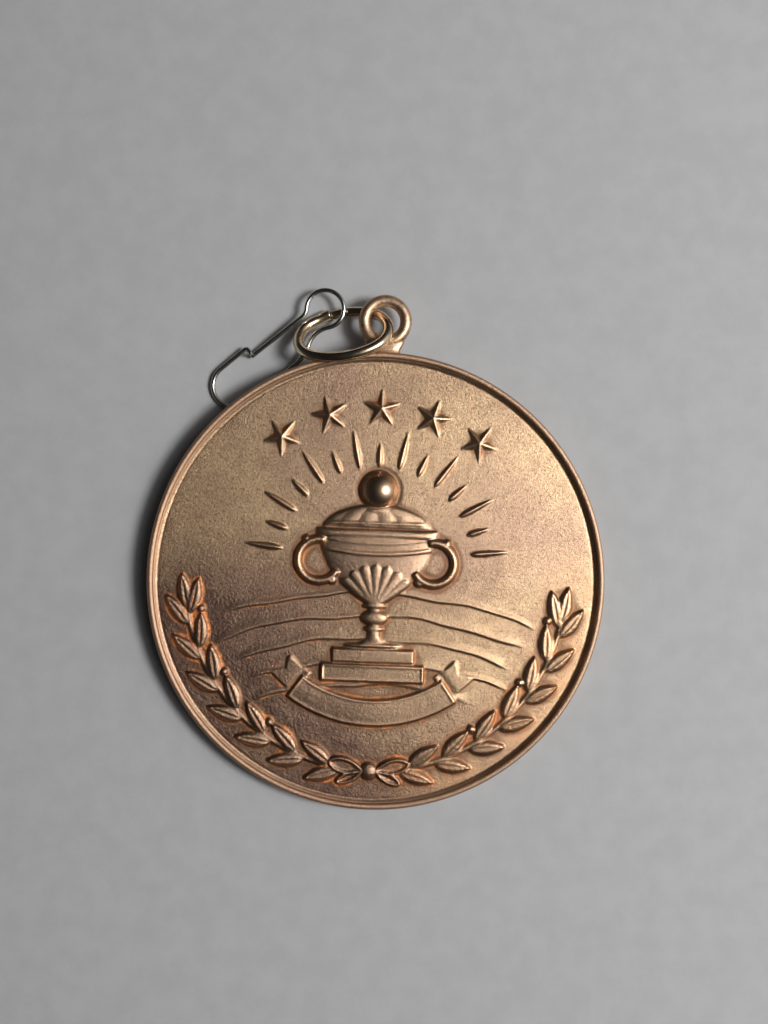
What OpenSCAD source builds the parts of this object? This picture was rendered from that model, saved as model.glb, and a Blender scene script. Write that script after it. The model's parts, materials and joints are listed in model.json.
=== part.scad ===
// Award medal: a struck disc with a raised rim and relief, a round eye brazed to
// its edge, an oval split ring through the eye, and a spring-wire hook on the ring.
//
// Frame: origin at the centre of the disc's flat back, Z up through the struck
// face, Y towards the eye. All lengths are in millimetres.

/* [Disc] */
// Diameter over the rim
disc_d = 70; // [55:0.5:90]
// Thickness from the back to the top of the rim
disc_t = 3.2; // [2.8:0.1:3.6]
// Width of the rounded rim bead
rim_w = 1.6; // [1.2:0.1:2]
// Depth of the field below the top of the rim
field_drop = 1.0; // [0.7:0.05:1.1]
// Width of the bevel round the back face
back_bevel_w = 1.4; // [0.8:0.1:1.8]
// Height of the bevel on the edge
back_bevel_h = 0.45; // [0.2:0.05:0.6]

/* [Cup] */
// Width of the cup's mouth
cup_w = 17.2; // [14:0.2:19]
// Height of the bowl, from stem to mouth
cup_h = 11.5; // [9:0.5:13]
// Height of the cup above the field
cup_rise = 0.8; // [0.5:0.05:0.9]
// Number of gadroons round the foot of the bowl
flute_count = 7; // [5:1:9]
// Diameter of the polished ball on the lid
ball_d = 6; // [4:0.2:7]
// Height of the ball above the field
ball_rise = 2.0; // [1.2:0.1:2.4]
// Width of the plinth
plinth_w = 16; // [12:0.5:18]

/* [Sprays] */
// Radius of the two curved stems
spray_r = 29.2; // [24:0.1:30]
// Number of leaf pairs on each stem
leaf_pairs = 7; // [4:1:8]
// Length of a leaf
leaf_len = 5.6; // [4:0.1:6.4]
// Width of a leaf
leaf_w = 2.3; // [1.6:0.1:2.8]
// Height of a leaf above the field
leaf_rise = 0.6; // [0.4:0.05:0.8]
// Diameter of a berry
berry_d = 1.3; // [0.9:0.1:1.6]

/* [Stars and rays] */
// Number of stars in the arc above the cup
star_count = 5; // [3:2:7]
// Radius of a star from centre to point
star_r = 3.1; // [2:0.1:3.6]
// Height of a star above the field
star_rise = 0.7; // [0.4:0.05:0.9]
// Number of rays behind the cup
ray_count = 15; // [9:2:21]
// Width of the thin raised lines
line_w = 0.6; // [0.4:0.05:0.8]

/* [Eye] */
// Diameter of the eye's wire
eye_wire_d = 1.85; // [1.6:0.05:2]
// Diameter of the hole in the eye
eye_hole_d = 4.55; // [4.2:0.05:5.2]
// Gap left for the braze between the foot and the edge of the disc
braze_gap = 0.05; // [0.03:0.01:0.1]
// Width of the foot where it meets the disc
foot_w = 4.2; // [3.6:0.1:5]
// Thickness of the foot's two legs
foot_leg_d = 1.5; // [1.2:0.05:1.7]

/* [Jump ring] */
// Diameter of the ring's wire
ring_wire_d = 1.65; // [1.4:0.05:1.8]
// Length of the ring along its wire's centre line
ring_len = 14.08; // [13:0.1:15.5]
// Width of the ring along its wire's centre line
ring_width = 9.6; // [9:0.1:10.4]
// Radius of the ring's ends
ring_end_r = 4.08; // [3.6:0.05:4.4]
// Gap between the cut ends of the ring
ring_split = 0.25; // [0.1:0.05:0.5]

/* [Hook] */
// Diameter of the spring wire
hook_wire_d = 0.72; // [0.6:0.02:0.8]
// Width of the hook between the centre lines of its legs
hook_w = 6.8; // [6.2:0.1:7.4]
// Length of the hook along its centre line
hook_len = 24.9; // [23.5:0.1:27]
// Radius of the closed loop that holds the ring
loop_r = 2.91; // [2.7:0.02:3.1]
// Radius of the pinch where the long leg runs into the loop
neck_r = 4; // [3:0.1:4.6]
// Radius of the bend between the loop and the gate
gate_neck_r = 2; // [1.6:0.1:2.4]
// Length of the short leg up to the catch
short_leg = 4.76; // [4:0.1:6]
// Reach of the catch's tip across the gate
catch_reach = 1.5; // [1.3:0.05:1.8]
// Running clearance between pieces of wire
wire_gap = 0.07; // [0.05:0.01:0.12]

/* [Hidden] */
$fn = 48;

bronze = [0.66, 0.49, 0.33];
copper_bronze = [0.72, 0.52, 0.38];
brass = [0.80, 0.65, 0.38];
steel = [0.62, 0.60, 0.55];

// Disc
disc_r = disc_d / 2;
field_z = disc_t - field_drop;
wall_r = disc_r - 0.15;             // the edge stands just inside the bead
bead_z = disc_t - rim_w / 2;
sink = 0.3;                         // how far the relief roots into the disc

// Cup, from the plinth up
cup_base_y = -15.6;
plinth_h = 5.2;
foot_h = 2.2;
stem_h = 4.6;
bowl_y = cup_base_y + plinth_h + foot_h + stem_h;
mouth_y = bowl_y + cup_h;
lid_h = 3.6;
ball_y = mouth_y + lid_h + ball_d / 2 - 0.6;
handle_r = 3.2;
handle_wire = 1.3;

// Sprays
spray_top = 4;                      // degrees below the level of the centre
spray_root = 9;                     // degrees either side of the bottom
spray_step = (90 - spray_top - spray_root) / leaf_pairs;
leaf_splay = 24;

// Stars on an arc above the cup
star_arc_r = 26.4;
star_step = 17.5;

// Rays round a centre behind the cup
ray_y = 3;
ray_in = 14.6;
ray_out = 20.6;
ray_step = 12;

// Ground lines: wide arcs behind the cup's foot
ground_r = [54, 57.5, 61, 64.5, 68];
ground_y = -70;
ground_edge = 24.5;

// Eye: its centre is set back from the rim's top, so the ring can lie on the rim
eye_r = (eye_hole_d + eye_wire_d) / 2;
eye_neck = 0.825;                   // the foot's height between rim and eye
eye_set = 1.6;                      // depth of the eye's centre below the rim's top
eye_y = disc_r + eye_r + eye_wire_d / 2 + eye_neck;
eye_z = disc_t - eye_set;
eye_at = [0, eye_y, eye_z];
foot_leg_x = (foot_w - foot_leg_d) / 2;
foot_leg_y = disc_r - 0.6;          // the legs are cut off at the edge of the disc
foot_top = eye_r * [0.9375, -0.4375]; // where a leg leaves the eye, from its centre
foot_web_y = eye_y - 0.875 * eye_r;

// Ring: tilted so that it clears the eye's wire above and below
ring_a = ring_len / 2;
ring_b = ring_width / 2;
ring_grip = 1.246 * ring_b;
ring_tilt = asin((eye_wire_d + ring_wire_d + 2 * wire_gap) / ring_grip);
ring_turn = [-ring_tilt, -4, 10.4];
ring_tip = eye_r * [0.15875, -0.305625, 0.2096875]; // its end, from the eye's centre
ring_at = eye_at + ring_tip - turned([ring_a, 0, 0], ring_turn);
end_c = ring_a - ring_end_r;
side_drop = ring_b - ring_end_r;
side_c = (end_c * end_c - side_drop * side_drop) / (2 * side_drop);
side_r = ring_b + side_c;
side_half = atan(end_c / side_c);
split_at = 9.6;                     // degrees from the middle of the ring's far side
split_half = ring_split / side_r * 90 / PI;

// Hook, in its own plane: s along the legs, t across them
u_r = hook_w / 2;
loop_lift = 3.82;                   // the loop's centre above the straight leg
loop_at = [hook_len - loop_r, loop_lift];
neck_lift = 1.75;
neck_at = [loop_at.x - across(loop_r + neck_r, loop_at.y - neck_lift + neck_r), neck_lift - neck_r];
leg_fillet = 7;
fillet_at = [neck_at.x - across(neck_r + leg_fillet, leg_fillet - neck_at.y), leg_fillet];
gate_t = 5.12;
top_neck_t = gate_t + gate_neck_r;
top_neck_at = [loop_at.x - across(loop_r + gate_neck_r, top_neck_t - loop_at.y), top_neck_t];
catch_r = 0.45;
catch_at = [u_r + short_leg, hook_w];
catch_lift = 25;                    // the tip rises this many degrees over the gate
gate_gap = 0.08;
gate_tip = [0.2, 0.22, -0.3];       // how far the gate's tip passes the catch's corner
gate_from = [top_neck_at.x - gate_gap, gate_t, 0];
gate_to = [catch_at.x + gate_tip.x, gate_t + gate_tip.y, gate_tip.z];

// Where the hook lies: its loop encloses the ring's near-left bend
hook_turn = [0, -3.78, 40.44];
hook_spot = 116.4;                  // degrees round the ring's end arc to the pivot
ring_mid = ring_at + turned(oval_point(hook_spot), ring_turn);
loop_shift = [2.05, 2.06, -0.176];  // the loop's centre from the ring, past both wires
loop_offset = loop_shift + [0, 0, (ring_wire_d + hook_wire_d) / 2];
hook_at = ring_mid + loop_offset - turned([loop_at.x, loop_at.y, 0], hook_turn);

// Vector v turned by the angles that rotate() takes
function turned(v, a) =
    let (
        x1 = v.x,
        y1 = v.y * cos(a.x) - v.z * sin(a.x),
        z1 = v.y * sin(a.x) + v.z * cos(a.x),
        x2 = x1 * cos(a.y) + z1 * sin(a.y),
        z2 = z1 * cos(a.y) - x1 * sin(a.y)
    )
    [x2 * cos(a.z) - y1 * sin(a.z), x2 * sin(a.z) + y1 * cos(a.z), z2];

// The other side of a right triangle
function across(slant, side) = sqrt(slant * slant - side * side);

// A point on the ring's end arc, by its angle round that arc's centre
function oval_point(a) = [ring_end_r * cos(a) - end_c, ring_end_r * sin(a), 0];

// The point at distance r from p on the way to q
function between(p, q, r) = p + (q - p) * r / norm(q - p);

function polar(r, a) = [r * cos(a), r * sin(a)];

// Wire bent in the XY plane round c, from angle a0 to a1
module bend(c, r, a0, a1, d) {
    translate([c.x, c.y, 0])
        rotate(a0)
            rotate_extrude(angle = a1 - a0, $fn = 96)
                translate([r, 0])
                    circle(d = d, $fn = 32);
}

// The direction of a wire that runs round p, where it passes q
function tangent(p, q) = atan2(q.y - p.y, q.x - p.x) + 90;

// Ball that joins one length of wire to the next, a hair larger than the wire, its
// poles on the wire, which runs at angle a there
module knuckle(p, a, d) {
    translate([p.x, p.y, 0])
        rotate([0, 90, a])
            sphere(d = d * 1.02, $fn = 32);
}

// Straight wire between two points
module straight(p, q, d) {
    v = q - p;
    translate(p)
        rotate([0, acos(v.z / norm(v)), atan2(v.y, v.x)])
            cylinder(h = norm(v), d = d, $fn = 32);
}

// Flat relief: a raised outline that roots into the field
module raised(h) {
    translate([0, 0, field_z - sink])
        linear_extrude(h + sink)
            children();
}

module mirrored() {
    children();
    mirror([1, 0, 0])
        children();
}

module blank() {
    rotate_extrude($fn = 180)
        polygon([
            [0, 0],
            [wall_r - back_bevel_w, 0],
            [wall_r, back_bevel_h],
            [wall_r, bead_z],
            [wall_r - rim_w / 2, bead_z],
            [wall_r - rim_w / 2, field_z],
            [0, field_z]
        ]);
    translate([0, 0, bead_z])
        rotate_extrude($fn = 180)
            translate([disc_r - rim_w / 2, 0])
                circle(d = rim_w, $fn = 32);
}

// Turned relief: a profile revolved about Y and pressed flat, so that a point at
// radius r stands rise above the field
module pressed(rise, r) {
    translate([0, 0, field_z])
        scale([1, 1, rise / r])
            rotate([-90, 0, 0])
                rotate_extrude($fn = 64)
                    children();
}

// The cap of a sphere, d across and rise high above the field
module dome(d, rise) {
    cap_r = (d * d / 4 + rise * rise) / (2 * rise);
    translate([0, 0, field_z + rise - cap_r])
        intersection() {
            sphere(r = cap_r, $fn = 64);
            translate([0, 0, cap_r - rise - sink])
                cylinder(h = rise + sink + 1, d = d + 1);
        }
}

// Half-profile of the bowl: rounded below, straight at the lip
function bowl_r(u) = cup_w / 2 * (0.12 + 0.88 * pow(sin(90 * u), 0.75));

module bowl() {
    steps = 14;
    pressed(cup_rise, cup_w / 2)
        polygon(concat(
            [[0, bowl_y]],
            [for (i = [0 : steps]) [bowl_r(i / steps), bowl_y + cup_h * 0.86 * i / steps]],
            [[bowl_r(1), mouth_y], [0, mouth_y]]
        ));
    pressed(cup_rise + 0.1, cup_w / 2 + 0.7)
        translate([0, mouth_y - 1.5])
            square([cup_w / 2 + 0.7, 1.2]);
}

// Gadroons fan out from the stem and stand a little above the bowl
module gadroons() {
    for (i = [0 : flute_count - 1]) {
        a = (i - (flute_count - 1) / 2) * 17;
        translate([0, bowl_y - 0.4, field_z + cup_rise * 0.3])
            rotate([4, 0, -a])
                rotate([-90, 0, 0])
                    cylinder(h = cup_h * 0.56, r1 = 0.4, r2 = 0.9, $fn = 24);
    }
}

// Stem with its knop, on a flared foot
module stem() {
    steps = 8;
    pressed(cup_rise * 0.7, 2.2)
        polygon(concat(
            [[0, bowl_y - stem_h - foot_h]],
            [for (i = [0 : steps])
                [1 + plinth_w * 0.24 * pow(1 - i / steps, 2.2),
                    bowl_y - stem_h - foot_h + foot_h * (0.3 + 0.7 * i / steps)]],
            [[1, bowl_y + 0.5], [0, bowl_y + 0.5]]
        ));
    translate([0, bowl_y - stem_h * 0.45, 0])
        dome(4.4, cup_rise);
}

module lid() {
    steps = 10;
    pressed(cup_rise * 0.9, cup_w / 2)
        polygon(concat(
            [[0, mouth_y + 0.2]],
            [for (i = [0 : steps])
                [cup_w / 2 * cos(84 * i / steps), mouth_y + 0.2 + lid_h * sin(84 * i / steps)]],
            [[0, mouth_y + 0.2 + lid_h]]
        ));
}

module plinth() {
    raised(cup_rise * 0.7)
        translate([-plinth_w * 0.4, cup_base_y + plinth_h * 0.55])
            square([plinth_w * 0.8, plinth_h * 0.45]);
    raised(cup_rise * 0.9)
        translate([-plinth_w / 2, cup_base_y])
            square([plinth_w, plinth_h * 0.55]);
}

module handle() {
    translate([cup_w / 2 + 0.2, mouth_y - 1.8 - handle_r, field_z + 0.15])
        bend([0, 0], handle_r, -118, 100, handle_wire);
}

module cup() {
    bowl();
    gadroons();
    stem();
    lid();
    plinth();
    mirrored()
        handle();
    // Polished ball on the lid
    translate([0, ball_y, 0])
        dome(ball_d, ball_rise);
}

// Leaf along X: a pointed oval with a rounded back
module leaf() {
    side = (leaf_len * leaf_len / 4 + leaf_w * leaf_w / 4) / leaf_w;
    back_r = leaf_w * 0.95;
    intersection() {
        raised(leaf_rise)
            translate([leaf_len / 2, 0])
                intersection() {
                    translate([0, side - leaf_w / 2])
                        circle(side, $fn = 72);
                    translate([0, leaf_w / 2 - side])
                        circle(side, $fn = 72);
                }
        translate([-1, 0, field_z + leaf_rise - back_r])
            rotate([0, 90, 0])
                cylinder(h = leaf_len + 2, r = back_r, $fn = 40);
    }
}

module spray() {
    a_from = 270 + spray_root;
    a_to = 360 - spray_top;
    translate([0, 0, field_z])
        bend([0, 0], spray_r, a_from, a_to - 3, line_w);
    for (i = [0 : leaf_pairs - 1]) {
        a = a_from + i * spray_step;
        for (side = [-1, 1])
            rotate(a + (side > 0 ? 0 : 3))
                translate([spray_r + side * 0.35, 0, 0])
                    rotate(90 - side * leaf_splay)
                        leaf();
        if (i % 2 == 1)
            rotate(a - spray_step * 0.2)
                translate([spray_r - leaf_w * 0.95, 0, field_z])
                    sphere(d = berry_d, $fn = 24);
    }
    rotate(a_to - spray_step * 0.6)
        translate([spray_r, 0, 0])
            rotate(90)
                leaf();
}

// Bow that ties the stems at the bottom
module bow() {
    mirrored() {
        translate([1, -spray_r, 0])
            rotate(14)
                leaf();
        translate([0.6, -spray_r, 0])
            rotate(-24)
                scale([0.8, 0.8, 1])
                    leaf();
    }
    translate([0, -spray_r, 0])
        dome(2.8, leaf_rise + 0.2);
}

// Five-pointed star with a ridge to each point
module star() {
    inner = star_r * sin(18) / sin(54);
    rim = [for (i = [0 : 9]) polar(i % 2 == 0 ? star_r : inner, 90 + i * 36)];
    low = field_z - sink;
    polyhedron(
        points = concat(
            [for (p = rim) [p.x, p.y, low]],
            [for (p = rim) [p.x, p.y, field_z + 0.05]],
            [[0, 0, field_z + star_rise]]
        ),
        faces = concat(
            [[for (i = [0 : 9]) i]],
            [for (i = [0 : 9]) [i, i + 10, (i + 1) % 10 + 10, (i + 1) % 10]],
            [for (i = [0 : 9]) [i + 10, 20, (i + 1) % 10 + 10]]
        )
    );
}

module stars() {
    for (i = [0 : star_count - 1])
        rotate((i - (star_count - 1) / 2) * star_step)
            translate([0, star_arc_r, 0])
                star();
}

// Rays taper outwards from a ring round the cup
module rays() {
    for (i = [0 : ray_count - 1])
        translate([0, ray_y, 0])
            rotate(90 + (i - (ray_count - 1) / 2) * ray_step)
                raised(0.3)
                    polygon([
                        [ray_in, -line_w / 2],
                        [ray_out - (i % 2) * 2.4, -0.1],
                        [ray_out - (i % 2) * 2.4, 0.1],
                        [ray_in, line_w / 2]
                    ]);
}

// Ground lines end on a circle inside the sprays
module ground() {
    for (r = ground_r) {
        y = (ground_edge * ground_edge - r * r + ground_y * ground_y) / (2 * ground_y);
        half = acos((y - ground_y) / r);
        translate([0, ground_y, field_z - 0.05])
            bend([0, 0], r, 90 - half, 90 + half, line_w);
    }
}

// Blank scroll under the plinth
module scroll() {
    raised(0.45)
        difference() {
            intersection() {
                circle(22.4, $fn = 120);
                polygon([[0, 0], polar(40, 234), polar(40, 306)]);
            }
            circle(18.2, $fn = 120);
        }
    mirrored()
        raised(0.25)
            difference() {
                intersection() {
                    circle(21.4, $fn = 120);
                    polygon([[0, 0], polar(40, 304), polar(40, 317)]);
                }
                circle(17.2, $fn = 120);
                translate(polar(19.3, 317))
                    rotate(317 + 45)
                        square(2.6, center = true);
            }
}

module medal_disc() {
    color(bronze) {
        blank();
        cup();
        mirrored()
            spray();
        bow();
        stars();
        rays();
        ground();
        scroll();
    }
}

module suspension_eye() {
    color(copper_bronze)
        difference() {
            union() {
                translate(eye_at)
                    bend([0, 0], eye_r, 0, 360, eye_wire_d);
                // Foot: two legs from the eye's flanks down to the edge of the disc
                for (side = [1, -1])
                    straight(
                        eye_at + [side * foot_top.x, foot_top.y, 0],
                        [side * foot_leg_x, foot_leg_y, eye_z],
                        foot_leg_d
                    );
                // Web that fills the foot between its legs
                translate([0, 0, eye_z - foot_leg_d * 0.4])
                    linear_extrude(foot_leg_d * 0.8)
                        polygon([
                            [-foot_leg_x, foot_leg_y],
                            [foot_leg_x, foot_leg_y],
                            [eye_r * 0.6, foot_web_y],
                            [-eye_r * 0.6, foot_web_y]
                        ]);
            }
            translate([0, 0, -1])
                cylinder(h = disc_t + 2, r = disc_r + braze_gap, $fn = 180);
        }
}

module jump_ring() {
    color(brass)
        translate(ring_at)
            rotate(ring_turn) {
                bend([end_c, 0], ring_end_r, side_half - 90, 90 - side_half, ring_wire_d);
                bend([-end_c, 0], ring_end_r, 90 + side_half, 270 - side_half, ring_wire_d);
                bend([0, side_c], side_r, 270 - side_half, 270 + side_half, ring_wire_d);
                bend([0, -side_c], side_r, 90 - side_half, 90 + split_at - split_half,
                    ring_wire_d);
                bend([0, -side_c], side_r, 90 + split_at + split_half, 90 + side_half,
                    ring_wire_d);
                for (i = [-1, 1], a = [90 - side_half, side_half - 90])
                    knuckle([i * (end_c + ring_end_r * cos(a)), ring_end_r * sin(a)],
                        90 + i * a, ring_wire_d);
            }
}

module in_hook() {
    translate(hook_at)
        rotate(hook_turn)
            children();
}

module hook_wire() {
    color(steel)
        in_hook() {
            // Catch: bends across and over the gate
            translate([catch_at.x, catch_at.y, 0])
                rotate([180 - catch_lift, 0, 0]) {
                    bend([0, catch_r], catch_r, -90, 0, hook_wire_d);
                    straight([catch_r, catch_r, 0], [catch_r, catch_reach, 0], hook_wire_d);
                    knuckle([catch_r, catch_r], 90, hook_wire_d);
                }
            straight([catch_at.x, hook_w, 0], [u_r, hook_w, 0], hook_wire_d);
            bend([u_r, u_r], u_r, 90, 270, hook_wire_d);
            straight([u_r, 0, 0], [fillet_at.x, 0, 0], hook_wire_d);
            // Leg, neck, loop and second neck
            bend(fillet_at, leg_fillet, 270, 360 + atan2(neck_at.y - fillet_at.y,
                neck_at.x - fillet_at.x), hook_wire_d);
            bend(neck_at, neck_r, atan2(loop_at.y - neck_at.y, loop_at.x - neck_at.x),
                180 + atan2(neck_at.y - fillet_at.y, neck_at.x - fillet_at.x), hook_wire_d);
            bend(loop_at, loop_r, atan2(neck_at.y - loop_at.y, neck_at.x - loop_at.x),
                atan2(top_neck_at.y - loop_at.y, top_neck_at.x - loop_at.x), hook_wire_d);
            bend(top_neck_at, gate_neck_r, 270, 360 + atan2(loop_at.y - top_neck_at.y,
                loop_at.x - top_neck_at.x), hook_wire_d);
            for (p = [catch_at, [u_r, hook_w], [u_r, 0], [fillet_at.x, 0]])
                knuckle(p, 0, hook_wire_d);
            knuckle(between(fillet_at, neck_at, leg_fillet), tangent(fillet_at, neck_at),
                hook_wire_d);
            knuckle(between(neck_at, loop_at, neck_r), tangent(neck_at, loop_at), hook_wire_d);
            knuckle(between(top_neck_at, loop_at, gate_neck_r), tangent(top_neck_at, loop_at),
                hook_wire_d);
        }
}

module hook_gate() {
    color(steel)
        in_hook()
            straight(gate_from, gate_to, hook_wire_d);
}

medal_disc();
suspension_eye();
jump_ring();
hook_wire();
hook_gate();
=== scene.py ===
import json
import math

import bpy
import numpy as np
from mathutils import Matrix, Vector


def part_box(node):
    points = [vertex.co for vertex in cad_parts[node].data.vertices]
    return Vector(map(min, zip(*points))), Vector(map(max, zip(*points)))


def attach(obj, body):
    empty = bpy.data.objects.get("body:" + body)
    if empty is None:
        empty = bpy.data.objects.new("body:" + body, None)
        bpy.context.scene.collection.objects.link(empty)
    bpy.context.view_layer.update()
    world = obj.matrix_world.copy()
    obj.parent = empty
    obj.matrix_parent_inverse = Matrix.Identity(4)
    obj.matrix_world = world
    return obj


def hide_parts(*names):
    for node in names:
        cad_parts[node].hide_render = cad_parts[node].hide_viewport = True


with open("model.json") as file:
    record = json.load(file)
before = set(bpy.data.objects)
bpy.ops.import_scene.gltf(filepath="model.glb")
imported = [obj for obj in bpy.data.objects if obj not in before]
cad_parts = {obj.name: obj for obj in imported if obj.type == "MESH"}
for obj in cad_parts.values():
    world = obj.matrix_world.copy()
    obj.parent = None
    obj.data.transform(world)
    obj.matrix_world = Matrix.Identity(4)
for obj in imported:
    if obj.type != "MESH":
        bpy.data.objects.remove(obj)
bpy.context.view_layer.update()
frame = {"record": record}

MM = 0.001

# ---------------------------------------------------------------- sizes, in mm
JOINTS = {j["name"]: j for j in frame["record"]["behaviour"]["joints"]}
DISC_LOW, DISC_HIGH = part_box("medal_disc")
DISC_R = (DISC_HIGH[0] - DISC_LOW[0]) / 2 / MM
WALL_R = DISC_R - 0.15                 # straight edge, just inside the rim's widest
RIM_W, RIM_TOP, FIELD_DROP = 1.6, 3.2, 1.0
FIELD_Z = RIM_TOP - FIELD_DROP
BEVEL_W, BEVEL_H = 1.4, 0.45           # bevel round the back
# The face ends where the solid's round rim bead would rise from the field
FACE_R = DISC_R - RIM_W / 2 - math.sqrt((RIM_W / 2) ** 2 - (FIELD_DROP - RIM_W / 2) ** 2)
LIP_R, LIP_HALF = DISC_R - 0.46, 0.5   # round lip on the outside of the rim
COVE_RISE = 0.44                       # hollow slope from the field up to the lip

# Struck design: _RISE is height above the field, _W and _H are width and height
CUP_W, CUP_H, CUP_RISE = 17.2, 11.5, 0.8
PLINTH_W, PLINTH_H, FOOT_H, STEM_H = 16.0, 5.2, 2.2, 4.6
BASE_Y = -15.6
BOWL_Y = BASE_Y + PLINTH_H + FOOT_H + STEM_H
MOUTH_Y = BOWL_Y + CUP_H
LID_H, LID_RISE = 3.6, 0.7
HANDLE_OUT, HANDLE_DROP, HANDLE_R, HANDLE_HALF = 0.2, 5, 3.2, 0.66
HANDLE_FROM, HANDLE_TO = -152, 105     # degrees round each handle, from its outer side
GADROONS, GADROON_STEP, GADROON_LEN, GADROON_RISE = 7, 17, CUP_H * 0.56, 0.24
BALL_R, BALL_RISE, SEAT_DEPTH = 3.0, 2.0, 0.07
BALL_Y = MOUTH_Y + LID_H + BALL_R - 0.6
SPRAY_R, SPRAY_ROOT, SPRAY_TOP, LEAF_PAIRS = 29.2, 9, 4, 7
STEM_HALF, STEM_RISE = 0.42, 0.34
LEAF_LEN, LEAF_W, LEAF_RISE = 5.6, 2.3, 0.6
BERRY_IN, BERRY_R, BERRY_RISE = 2.1, 0.65, 0.62
LEAF_LIFT, MIDRIB = 0.35, 0.16
LEAF_TILT, LEAF_LAG = 24, 3            # degrees off the stem, and inner leaves ahead
STARS, STAR_R, STAR_RISE, STAR_ARC_R, STAR_STEP = 5, 3.1, 0.72, 26.4, 17.5
RAY_Y, RAY_IN, RAY_OUT, RAY_SHORT, RAY_RISE = 3, 14.6, 20.6, 2.4, 0.4
RAY_STEP, RAY_LAST = 12, 7             # degrees apart, and how many on each side
GROUND_Y, GROUND_RISE, GROUND_RADII = -70, 0.24, (54, 57.5, 61, 64.5, 68)
SCROLL_IN, SCROLL_OUT, SCROLL_END = 18.2, 22.4, 36
TAIL_IN, TAIL_OUT, TAIL_END = 17.2, 21.4, 47
BOW_PARTS = ((14, 5.6, 2.7), (-24, 4.6, 1.9))   # loops and tails: tilt, length, width
KNOT_R, KNOT_RISE = 1.35, 0.86
LUMPS = ((0.3, 0.21), (1.4, 0.33), (2.2, 0.27), (2.9, 0.47), (0.9, 0.61))
LUMP_RISE, DISH_R, DISH_RISE = 0.007, 29, 0.04  # unevenness, and the field's edge

EYE = np.array(JOINTS["ring_turn"]["pos_m"]) / MM
EYE_WIRE_R, EYE_R, VOXEL = 0.925, 3.2, 0.11
# Sections of the eye's foot: height, half-width and half-thickness
EYE_FOOT = ((34.55, 2.8, 0.86), (34.98, 2.75, 0.86), (35.2, 2.46, 0.8), (35.5, 2.44, 0.78),
            (35.9, 2.64, 0.77), (36.3, 2.86, 0.76), (36.7, 3.02, 0.75), (37.0, 3.12, 0.72))
JOINT_R, JOINT_TOP, BRAZE_TOP = 4.0, 36.9, 35.75   # where the eye is browned

RASTER = 0.07                          # pitch of the height map
FACE_STEPS = 392                       # quads across the face mesh
PITCH = 0.14                           # between points along a wire
# Wire ends: share of the radius and how far in from the end; angles of a dome
CUT_END = ((0.45, 0.004), (0.9, 0), (0.985, 0.03))
ROUND_END = (80, 55, 30)
# What the materials read at each vertex of the face
LAYERS = ("sunk", "proud", "shine", "toned", "rim", "crease", "high", "glow")


# ---------------------------------------------------------------- height map
def smooth(t):
    """Eased step from 0 to 1."""
    t = np.clip(t, 0, 1)
    return t * t * (3 - 2 * t)


def ridge(offset, half, rise):
    """Round-topped ridge: offset is the distance from its centre line."""
    return rise * np.sqrt(np.clip(1 - (offset / half) ** 2, 0, 1))


def plateau(inside, bevel, rise):
    """Flat-topped step: inside is the distance in from its outline."""
    return rise * smooth(inside / bevel)


def blur(a, sigma):
    """Gaussian blur of a height map, sigma in mm."""
    reach = max(1, int(3 * sigma / RASTER))
    k = np.exp(-0.5 * (np.arange(-reach, reach + 1) * RASTER / sigma) ** 2)
    k /= k.sum()
    for axis in (0, 1):
        pad = [(reach, reach) if i == axis else (0, 0) for i in (0, 1)]
        b = np.pad(a, pad, mode="edge")
        a = sum(w * np.take(b, np.arange(i, i + a.shape[axis]), axis) for i, w in enumerate(k))
    return a


class Relief:
    """Height above the field on a square raster, built up piece by piece."""

    def __init__(self):
        half = DISC_R + 1
        self.line = np.arange(-half, half + RASTER, RASTER)
        self.x, self.y = np.meshgrid(self.line, self.line)
        self.h = np.zeros_like(self.x)
        self.shine = np.zeros_like(self.x)
        self.rim = np.zeros_like(self.x)   # the rim lies outside the map

    def window(self, cx, cy, reach):
        """The part of the raster round a point."""
        i0, i1 = np.searchsorted(self.line, [cy - reach, cy + reach])
        j0, j1 = np.searchsorted(self.line, [cx - reach, cx + reach])
        return (slice(i0, i1), slice(j0, j1))

    def raise_to(self, window, height):
        """Keeps the higher of what is there and a new form."""
        self.h[window] = np.maximum(self.h[window], height)

    def sample(self, layer, x, y):
        """The layer's value at points, between raster nodes."""
        u = (x - self.line[0]) / RASTER
        v = (y - self.line[0]) / RASTER
        j, i = u.astype(int), v.astype(int)
        u, v = u - j, v - i
        return (
            layer[i, j] * (1 - u) * (1 - v) + layer[i, j + 1] * u * (1 - v)
            + layer[i + 1, j] * (1 - u) * v + layer[i + 1, j + 1] * u * v
        )


def local(x, y, cx, cy, degrees):
    """Coordinates along and across a direction, from a point."""
    c, s = math.cos(math.radians(degrees)), math.sin(math.radians(degrees))
    return (x - cx) * c + (y - cy) * s, (y - cy) * c - (x - cx) * s


def leaf_height(along, across):
    """Puffed pointed leaf with a lifted tip, a sunk midrib and faint side veins."""
    u = np.clip(along / LEAF_LEN, 0, 1)
    half = LEAF_W / 2 * np.sin(math.pi * u ** 0.82) ** 0.85 + 1e-6
    side = np.abs(across) / half
    body = np.sqrt(np.clip(1 - side ** 2.3, 0, 1))
    ends = smooth(np.minimum(along, LEAF_LEN - along) / 0.7)
    h = LEAF_RISE * (0.72 + 0.28 * ends + LEAF_LIFT * (u - 0.4)) * body
    midrib = np.exp(-((across / 0.17) ** 2)) * smooth(u / 0.1) * smooth((0.93 - u) / 0.12)
    h -= MIDRIB * midrib
    veins = np.cos((along - np.abs(across) * 1.1) * 6.6)
    h += 0.022 * veins * smooth(side * 2 - 0.2) * body
    inside = (along > 0) & (along < LEAF_LEN) & (side < 1)
    return np.where(inside, h, 0)


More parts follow.
